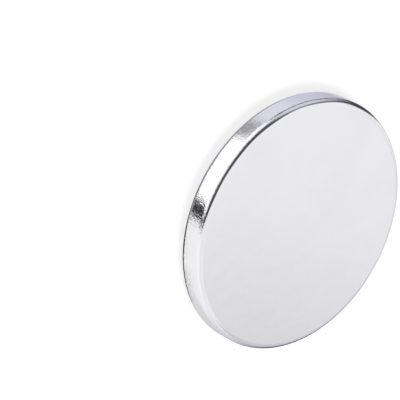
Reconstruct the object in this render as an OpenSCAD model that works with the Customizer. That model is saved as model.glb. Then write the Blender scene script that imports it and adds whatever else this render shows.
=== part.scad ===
// Disc magnet: one pressed and sintered disc with bright plate all over it.
// Two flat faces, a straight rim, and a full quarter round where the rim meets each face.
// It lies on its lower face. The origin is the middle of that face, and +Z is the disc's axis.

/* [Disc] */
// Outer diameter of the disc
disc_d = 30; // [6:0.5:100]
// Thickness from face to face
disc_t = 3; // [1.5:0.1:30]

/* [Edge] */
// Radius of the round between the rim and each face
edge_r = 0.7; // [0.1:0.05:0.7]

/* [Hidden] */

$fn = 180;

disc_r = disc_d / 2;
// Radius of the flat part of each face
flat_r = disc_r - edge_r;
// Height of the straight part of the rim
rim_h = disc_t - 2 * edge_r;

// Right half of the disc's section, with X as the radius and Y as the height
module half_section() {
    // Core that carries both flat faces
    square([flat_r, disc_t]);
    // Band that carries the straight rim
    translate([0, edge_r])
        square([disc_r, rim_h]);
    // Rounds at the lower and the upper edge
    for (edge_h = [edge_r, edge_r + rim_h])
        translate([flat_r, edge_h])
            circle(r = edge_r);
}

module magnet_disc() {
    color([0.86, 0.86, 0.88])
        rotate_extrude()
            half_section();
}

magnet_disc();
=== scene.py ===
import math

import bmesh
import bpy
from mathutils import Matrix, Vector


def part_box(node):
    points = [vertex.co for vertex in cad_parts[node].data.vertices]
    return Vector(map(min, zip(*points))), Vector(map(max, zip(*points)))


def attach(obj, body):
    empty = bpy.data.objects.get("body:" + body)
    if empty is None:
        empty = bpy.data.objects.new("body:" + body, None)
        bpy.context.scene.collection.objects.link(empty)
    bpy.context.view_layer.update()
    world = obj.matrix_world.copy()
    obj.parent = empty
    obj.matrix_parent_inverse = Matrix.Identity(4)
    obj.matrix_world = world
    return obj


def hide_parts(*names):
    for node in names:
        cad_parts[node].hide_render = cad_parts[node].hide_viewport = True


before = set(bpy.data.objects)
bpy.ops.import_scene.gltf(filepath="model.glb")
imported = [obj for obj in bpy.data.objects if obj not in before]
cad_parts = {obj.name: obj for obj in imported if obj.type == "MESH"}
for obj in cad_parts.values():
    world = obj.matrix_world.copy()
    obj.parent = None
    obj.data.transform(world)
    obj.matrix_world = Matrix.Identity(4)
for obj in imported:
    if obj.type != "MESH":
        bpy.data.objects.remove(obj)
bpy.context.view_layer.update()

mm = 0.001  # the scene is in metres

discLow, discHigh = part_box("magnet_disc")
discRadius = (discHigh.x - discLow.x) / 2
discThickness = discHigh.z - discLow.z
print("frame loaded, disc", round(discRadius / mm * 2, 3), "x", round(discThickness / mm, 3), "mm")


def toLinear(hexColour):
    # sRGB hex to the linear colour that the shaders take
    parts = [int(hexColour[i:i + 2], 16) / 255 for i in (1, 3, 5)]
    return [p / 12.92 if p <= 0.04045 else ((p + 0.055) / 1.055) ** 2.4 for p in parts] + [1.0]


def addNode(tree, kind, inputs=None, **settings):
    # adds one node with its settings, then links or sets each input named
    # inputs 0, 6 and 7 of a colour mix are its share and its two colours, and output 2 is the result
    node = tree.nodes.new(kind)
    for name, value in settings.items():
        setattr(node, name, value)
    for name, value in (inputs or {}).items():
        if isinstance(value, bpy.types.NodeSocket):
            tree.links.new(value, node.inputs[name])
        else:
            node.inputs[name].default_value = value
    return node


# camera: it looks down on the upper face and is rolled, so the disc leans as in the photograph
shot = {
    "imageSize": 400,                # px, the photograph is square
    "faceCentre": (300.45, 225.63),  # px, where the middle of the upper face is seen
    "radiusSeen": 134.42,            # px that the disc's radius spans at that distance
    "focal": 5200,                   # px, a long lens
    "tilt": 47.35,                   # degrees from looking straight down on the face
    "lean": 28.82,                   # degrees that the face's normal points below the picture's right
    "azimuth": -67,                  # degrees round the disc that the camera stands at
    "sensor": 36.0,                  # mm
    "clip": (0.01, 10),              # m, nearest and farthest that it sees
}


def makeCamera(shot):
    lens = bpy.data.cameras.new("camera")
    camera = bpy.data.objects.new("camera", lens)
    bpy.context.collection.objects.link(camera)
    lens.sensor_width = shot["sensor"]
    lens.lens = shot["focal"] * shot["sensor"] / shot["imageSize"]
    lens.clip_start, lens.clip_end = shot["clip"]
    tilt, lean = math.radians(shot["tilt"]), math.radians(shot["lean"])
    # up, as the camera sees it: the face's normal in camera axes
    up = Vector((math.sin(tilt) * math.cos(lean), -math.sin(tilt) * math.sin(lean), math.cos(tilt)))
    roll = math.atan2(-up.x, up.y)
    turn = (
        Matrix.Rotation(math.radians(shot["azimuth"]), 3, "Z")
        @ Matrix.Rotation(tilt, 3, "X")
        @ Matrix.Rotation(-roll, 3, "Z")
    )
    distance = shot["focal"] * discRadius / shot["radiusSeen"]
    half = shot["imageSize"] / 2
    right = (shot["faceCentre"][0] - half) / shot["focal"] * distance
    down = (shot["faceCentre"][1] - half) / shot["focal"] * distance
    place = Vector((0, 0, discHigh.z)) - turn @ Vector((right, -down, -distance))
    camera.matrix_world = Matrix.Translation(place) @ turn.to_4x4()
    bpy.context.scene.camera = camera


makeCamera(shot)
print("camera made")


# what the metal reflects: a white room with a softbox before the disc, pale walls, a lavender side
# panel in its frame, and dark gaps between them, which make the lines along the disc's edge
# all angles are in degrees: azimuth from the camera's side, low and high above the horizon, half as
# half the width, edge as the softness of the upright and of the level borders, and slant as what the
# upright borders lean by per degree of height; a later panel covers an earlier one
studio = {
    "white": "#FFFFFF",
    "lampLight": 0.72,          # level of the room's light on all that isn't a mirror
    "panels": [
        {"name": "rightCeiling", "azimuth": 100, "half": 60, "low": 46, "high": 100,
         "edge": (30, 6), "colour": "#F8F8FA"},
        {"name": "leftWall", "azimuth": -121, "half": 43, "low": -100, "high": -10,
         "edge": (14, 16), "colour": "#D5D3E3"},
        {"name": "leftWallNear", "azimuth": -78, "half": 26, "low": -100, "high": 30,
         "edge": (20, 8), "colour": "#EAE9F2"},
        {"name": "rightWallFar", "azimuth": 152, "half": 37, "low": -100, "high": 24,
         "edge": (14, 18), "colour": "#E5E5E8"},
        {"name": "farDim", "azimuth": 180, "half": 12, "low": -60, "high": 39,
         "edge": (20, 3), "colour": "#E4E4E7"},
        {"name": "farDimLow", "azimuth": 185, "half": 22, "low": -38, "high": -2,
         "edge": (16, 10), "colour": "#DCDCDF"},
        {"name": "farCurtain", "azimuth": 160, "half": 19.2, "low": -30, "high": 42.5,
         "edge": (2.2, 1), "colour": "#D8D8DB"},
        {"name": "farShade", "azimuth": 156, "half": 8, "low": -38, "high": 14,
         "edge": (22, 12), "colour": "#84848A"},
        {"name": "farShadeLow", "azimuth": 160, "half": 10, "low": -39, "high": 6,
         "edge": (7, 7), "slant": -0.3, "colour": "#68686E"},
        {"name": "ceilingGap", "azimuth": -17, "half": 60, "low": 24, "high": 82,
         "edge": (8, 6), "colour": "#58585C"},
        {"name": "ceilingGapEnd", "azimuth": -79.5, "half": 28.5, "low": 41, "high": 66.5,
         "edge": (14, 8), "colour": "#48484E"},
        {"name": "sideFrame", "azimuth": -94.5, "half": 34, "low": -23.5, "high": 46,
         "edge": (5, 7), "colour": "#808086"},
        {"name": "sidePanel", "azimuth": -89, "half": 28, "low": -7.5, "high": 35,
         "edge": (12, 7), "slant": 0.3, "colour": "#E0DFEA"},
        {"name": "frameFoot", "azimuth": -69.5, "half": 5, "low": -24, "high": -4,
         "edge": (4, 4), "colour": "#78787E"},
        {"name": "frameStep", "azimuth": -107, "half": 5, "low": -12, "high": -3,
         "edge": (5, 5), "colour": "#828288"},
        {"name": "frameShoulder", "azimuth": -112, "half": 13, "low": 30, "high": 40,
         "edge": (12, 5), "colour": "#8A8A90"},
        {"name": "sideGap", "azimuth": -136.2, "half": 11.4, "low": -36, "high": 26,
         "edge": (5, 11), "slant": 0.2, "colour": "#46464C"},
        {"name": "softbox", "azimuth": -13, "half": 47, "low": -100, "high": 34,
         "edge": (3, 6), "colour": "#FFFFFF", "strength": 1.03},
        {"name": "softboxHeart", "azimuth": -10, "half": 40, "low": -100, "high": 8,
         "edge": (5, 7), "colour": "#FFFFFF", "strength": 1.35},
        {"name": "cornerFoot", "azimuth": -58, "half": 4, "low": 24, "high": 44,
         "edge": (4, 8), "colour": "#505056"},
        {"name": "softboxCorner", "azimuth": -51.5, "half": 19.5, "low": 25, "high": 50,
         "edge": (12, 10), "colour": "#545459"},
        {"name": "softboxFrame", "azimuth": -52.9, "half": 10.5, "low": -100, "high": -36.5,
         "edge": (4.5, 3), "colour": "#A4A3A9"},
        {"name": "rightWall", "azimuth": 67, "half": 33, "low": -100, "high": 62,
         "edge": (16, 8), "colour": "#FFFEFF", "strength": 1.03},
        {"name": "rightGlow", "azimuth": 75, "half": 30, "low": 20, "high": 36,
         "edge": (8, 8), "colour": "#FFFFFF", "strength": 1.12},
        {"name": "gap", "azimuth": 32.8, "half": 3.8, "low": -100, "high": 50,
         "edge": (2.8, 4), "colour": "#44444D"},
        {"name": "gapHead", "azimuth": 31.5, "half": 14, "low": 33, "high": 68,
         "edge": (6, 8), "colour": "#4A4A50"},
        {"name": "gapFoot", "azimuth": 28.8, "half": 6.2, "low": -100, "high": -8,
         "edge": (3, 12), "colour": "#42424C"},
        {"name": "gapBase", "azimuth": 31, "half": 7.8, "low": -100, "high": -39,
         "edge": (3, 3), "colour": "#20202C"},
        {"name": "ground", "azimuth": -40, "half": 100, "low": -100, "high": -52,
         "edge": (20, 3), "colour": "#A8A8AE"},
        {"name": "groundDark", "azimuth": 136, "half": 74, "low": -100, "high": -50,
         "edge": (14, 2), "colour": "#38383C"},
        {"name": "groundNear", "azimuth": 121, "half": 26, "low": -100, "high": -45.5,
         "edge": (10, 1.5), "colour": "#38383C"},
    ],
}


def makeWorld(studio):
    world = bpy.data.worlds.new("studio")
    bpy.context.scene.world = world
    world.use_nodes = True
    tree = world.node_tree
    tree.nodes.clear()

    # the direction looked in, turned so that Y points away from the camera's side
    place = addNode(tree, "ShaderNodeTexCoord").outputs["Generated"]
    turned = addNode(tree, "ShaderNodeMapping", {
        "Vector": place, "Rotation": (0, 0, -math.radians(shot["azimuth"])),
    }, vector_type="POINT").outputs[0]
    axes = addNode(tree, "ShaderNodeSeparateXYZ", {"Vector": turned}).outputs
    towards = addNode(tree, "ShaderNodeMath", {0: axes["Y"], 1: -1}, operation="MULTIPLY").outputs[0]
    bearing = addNode(tree, "ShaderNodeMath", {0: axes["X"], 1: towards}, operation="ARCTAN2").outputs[0]
    azimuth = addNode(tree, "ShaderNodeMath", {0: bearing}, operation="DEGREES").outputs[0]
    rise = addNode(tree, "ShaderNodeMath", {0: axes["Z"]}, operation="ARCSINE").outputs[0]
    elevation = addNode(tree, "ShaderNodeMath", {0: rise}, operation="DEGREES").outputs[0]

    white = toLinear(studio["white"])
    seen = white
    for panel in studio["panels"]:
        aside = addNode(tree, "ShaderNodeMath", {
            0: azimuth, 1: panel["azimuth"],
        }, operation="SUBTRACT").outputs[0]
        wrapped = addNode(tree, "ShaderNodeMath", {
            0: aside, 1: 180, 2: -180,
        }, operation="WRAP").outputs[0]
        leaned = addNode(tree, "ShaderNodeMath", {
            0: elevation, 1: -panel.get("slant", 0), 2: wrapped,
        }, operation="MULTIPLY_ADD").outputs[0]
        reach = addNode(tree, "ShaderNodeMath", {0: leaned}, operation="ABSOLUTE").outputs[0]
        sideEdge, levelEdge = panel["edge"]
        borders = [
            (reach, panel["half"], -sideEdge),
            (elevation, panel["low"], levelEdge),
            (elevation, panel["high"], -levelEdge),
        ]
        share = 1.0  # each border takes the share inside it down to nothing outside
        for value, border, softness in borders:
            share = addNode(tree, "ShaderNodeMapRange", {
                "Value": value, "From Min": border - softness, "From Max": border + softness,
                "To Max": share,
            }, interpolation_type="SMOOTHSTEP").outputs[0]
        colour = [c * panel.get("strength", 1) for c in toLinear(panel["colour"])[:3]] + [1.0]
        seen = addNode(tree, "ShaderNodeMix", {
            0: share, 6: seen, 7: colour,
        }, data_type="RGBA", label=panel["name"]).outputs[2]

    # mirrors see the panels, other surfaces get a plain even light, and the camera sees white
    rays = addNode(tree, "ShaderNodeLightPath").outputs
    mirrored = addNode(tree, "ShaderNodeBackground", {"Color": seen}).outputs[0]
    plain = addNode(tree, "ShaderNodeBackground", {"Color": white}).outputs[0]
    light = addNode(tree, "ShaderNodeBackground", {
        "Color": white, "Strength": studio["lampLight"],
    }).outputs[0]
    bright = addNode(tree, "ShaderNodeMath", {
        0: rays["Is Glossy Ray"], 1: rays["Is Transmission Ray"],
    }, operation="MAXIMUM").outputs[0]
    lit = addNode(tree, "ShaderNodeMixShader", {0: bright, 1: light, 2: mirrored}).outputs[0]
    shown = addNode(tree, "ShaderNodeMixShader", {0: rays["Is Camera Ray"], 1: lit, 2: plain}).outputs[0]
    addNode(tree, "ShaderNodeOutputWorld", {"Surface": shown})


makeWorld(studio)
print("studio made")


softLamp = {
    "size": 0.30,        # m, side of the square softbox
    "height": 0.45,      # m above the floor
    "aside": 0.25,       # m from the disc's axis
    "side": 150,         # degrees round the disc from the camera
    "power": 3.0,        # W
}


def makeLamp(look):
    light = bpy.data.lights.new("softLamp", "AREA")
    light.size = look["size"]
    light.energy = look["power"]
    lamp = bpy.data.objects.new("softLamp", light)
    bpy.context.collection.objects.link(lamp)
    side = math.radians(shot["azimuth"] + look["side"])
    lamp.location = (math.sin(side) * look["aside"], -math.cos(side) * look["aside"], look["height"])
    lamp.rotation_euler = lamp.location.to_track_quat("Z", "Y").to_euler()
    lamp.visible_glossy = False  # the room already holds what the metal reflects


makeLamp(softLamp)

floorLook = {
    "radius": 0.6,       # m
    "sides": 64,
    "colour": "#F4F4F4",
    "white": "#FFFFFF",  # what its glow adds for the camera
    "glow": 0.70,        # share of that white that the camera sees, the rest takes the shadow
}


def makeFloor(look):
    bm = bmesh.new()
    bmesh.ops.create_circle(bm, cap_ends=True, segments=look["sides"], radius=look["radius"])
    mesh = bpy.data.meshes.new("floor")
    bm.to_mesh(mesh)
    bm.free()
    floor = bpy.data.objects.new("floor", mesh)
    bpy.context.collection.objects.link(floor)
    material = bpy.data.materials.new("paleFloor")
    material.use_nodes = True
    tree = material.node_tree
    tree.nodes.clear()
    rays = addNode(tree, "ShaderNodeLightPath").outputs
    paint = addNode(tree, "ShaderNodeBsdfDiffuse", {"Color": toLinear(look["colour"])}).outputs[0]
    white = addNode(tree, "ShaderNodeEmission", {"Color": toLinear(look["white"])}).outputs[0]
    share = addNode(tree, "ShaderNodeMath", {
        0: rays["Is Camera Ray"], 1: look["glow"],
    }, operation="MULTIPLY").outputs[0]
    mixed = addNode(tree, "ShaderNodeMixShader", {0: share, 1: paint, 2: white}).outputs[0]
    addNode(tree, "ShaderNodeOutputMaterial", {"Surface": mixed})
    mesh.materials.append(material)
    floor.visible_glossy = False  # the rim then shows the studio and not the floor right under it


makeFloor(floorLook)
print("lamp and floor made")


magnet = {
    "edgeRadius": 0.7,          # mm, round between the rim and each face
    "sides": 720,               # steps round the disc
    "edgeSteps": 14,            # steps across each edge round
    "faceRings": (0.03, 4, 9),  # mm in from the flat's border, one ring of edges each
    "weld": 1e-5,               # mm, corners nearer than this are one
    "colour": "#EDEDF1",
    "cloudColour": "#E9E9ED",
    "cloud": 5.0,               # mm, size of the faint clouds in the plate
    "cloudDetail": 3.0,         # finer steps within them
    "cloudRange": (0.3, 0.7),   # noise that gives the least and the most roughness
    "roughness": (0.06, 0.10),  # least and most, over the clouds
    "rimRoughness": 0.03,       # added to those on the rim
    "rimBorder": (0.6, 0.05),   # in edge radii from the rim, where its finish starts and is full
    "rimGrain": 0.24,           # mm, size of the fine unevenness on the rim
    "rimStretch": 0.75,         # its length along the disc's axis for each 1 round the rim
    "rimDetail": 1.0,           # finer steps within it
    "rimSharpness": 0.6,        # strength of the finer step
    "rimBump": 0.019,           # mm
    "faceWave": 1.8,            # mm, size of the long shallow waves on the faces
    "faceDetail": 1.0,          # finer steps within them
    "faceBump": 0.003,          # mm
}


# bright nickel plate on a tumbled and sintered disc: it mirrors the room like polished metal, the
# ground faces hardly waver, and the finely uneven rim breaks up the borders that it reflects
def brightNickelPlate(look):
    material = bpy.data.materials.new("brightNickelPlate")
    material.use_nodes = True
    tree = material.node_tree
    tree.nodes.clear()
    place = addNode(tree, "ShaderNodeTexCoord").outputs["Object"]

    # 0 on the flat faces and 1 on the straight rim, by distance from the disc's axis
    flat = addNode(tree, "ShaderNodeVectorMath", {0: place, 1: (1, 1, 0)}, operation="MULTIPLY").outputs[0]
    fromAxis = addNode(tree, "ShaderNodeVectorMath", {0: flat}, operation="LENGTH").outputs["Value"]
    starts, full = look["rimBorder"]
    onRim = addNode(tree, "ShaderNodeMapRange", {
        "Value": fromAxis,
        "From Min": discRadius - look["edgeRadius"] * starts * mm,
        "From Max": discRadius - look["edgeRadius"] * full * mm,
    }, interpolation_type="SMOOTHSTEP").outputs[0]

    clouds = addNode(tree, "ShaderNodeTexNoise", {
        "Vector": place, "Scale": 1 / (look["cloud"] * mm), "Detail": look["cloudDetail"],
    }).outputs[0]
    colour = addNode(tree, "ShaderNodeMix", {
        0: clouds, 6: toLinear(look["colour"]), 7: toLinear(look["cloudColour"]),
    }, data_type="RGBA").outputs[2]
    faceRoughness = addNode(tree, "ShaderNodeMapRange", {
        "Value": clouds, "From Min": look["cloudRange"][0], "From Max": look["cloudRange"][1],
        "To Min": look["roughness"][0], "To Max": look["roughness"][1],
    }).outputs[0]
    roughness = addNode(tree, "ShaderNodeMath", {
        0: onRim, 1: look["rimRoughness"], 2: faceRoughness,
    }, operation="MULTIPLY_ADD").outputs[0]

    waves = addNode(tree, "ShaderNodeTexNoise", {
        "Vector": place, "Scale": 1 / (look["faceWave"] * mm), "Detail": look["faceDetail"],
    }).outputs[0]
    waved = addNode(tree, "ShaderNodeBump", {
        "Height": waves, "Strength": 1.0, "Distance": look["faceBump"] * mm,
    }).outputs[0]
    grains = 1 / (look["rimGrain"] * mm)
    stretched = addNode(tree, "ShaderNodeMapping", {
        "Vector": place, "Scale": (grains, grains, grains / look["rimStretch"]),
    }).outputs[0]
    grain = addNode(tree, "ShaderNodeTexNoise", {
        "Vector": stretched, "Scale": 1.0, "Detail": look["rimDetail"], "Roughness": look["rimSharpness"],
    }).outputs[0]
    grained = addNode(tree, "ShaderNodeBump", {
        "Height": grain, "Strength": onRim, "Distance": look["rimBump"] * mm, "Normal": waved,
    }).outputs[0]

    metal = addNode(tree, "ShaderNodeBsdfPrincipled", {
        "Base Color": colour, "Metallic": 1.0, "Roughness": roughness, "Normal": grained,
    }).outputs[0]
    addNode(tree, "ShaderNodeOutputMaterial", {"Surface": metal})
    return material


def makeDisc(shape):
    # made in millimetres, lying on its lower face, and scaled to metres at the end
    bm = bmesh.new()
    bmesh.ops.create_circle(bm, cap_ends=True, segments=shape["sides"], radius=discRadius / mm)
    raised = bmesh.ops.extrude_face_region(bm, geom=bm.faces[:])["geom"]
    top = [v for v in raised if isinstance(v, bmesh.types.BMVert)]
    bmesh.ops.translate(bm, verts=top, vec=(0, 0, discThickness / mm))
    corners = [e for e in bm.edges if abs(e.verts[0].co.z - e.verts[1].co.z) < shape["weld"]]
    bmesh.ops.bevel(
        bm, geom=corners, offset=shape["edgeRadius"], offset_type="OFFSET", affect="EDGES",
        segments=shape["edgeSteps"], profile=0.5, material=-1,
    )
    # the two flat faces are the only ones with more than four corners
    for face in [f for f in bm.faces if len(f.verts) > 4]:
        inset = 0
        for reach in shape["faceRings"]:
            bmesh.ops.inset_region(bm, faces=[face], thickness=reach - inset, use_even_offset=True)
            inset = reach
        bmesh.ops.poke(bm, faces=[face])
    bmesh.ops.remove_doubles(bm, verts=bm.verts, dist=shape["weld"])
    bmesh.ops.recalc_face_normals(bm, faces=bm.faces)
    # the operators leave corners and faces in another order each run, so both are sorted by place
    for order, corner in enumerate(sorted(bm.verts, key=lambda v: [round(c, 4) for c in v.co])):
        corner.index = order
    bm.verts.sort()
    for order, face in enumerate(sorted(bm.faces, key=lambda f: sorted(v.index for v in f.verts))):
        face.index = order
    bm.faces.sort()
    bmesh.ops.scale(bm, verts=bm.verts, vec=(mm, mm, mm))
    for face in bm.faces:
        face.smooth = True
    mesh = bpy.data.meshes.new("magnetDisc")
    bm.to_mesh(mesh)
    bm.free()
    disc = bpy.data.objects.new("magnetDisc", mesh)
    bpy.context.collection.objects.link(disc)
    mesh.materials.append(brightNickelPlate(shape))
    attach(disc, "root")
    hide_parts("magnet_disc")
    return disc


disc = makeDisc(magnet)
print("disc made,", len(disc.data.polygons), "faces")

bpy.context.scene.view_settings.view_transform = "Standard"
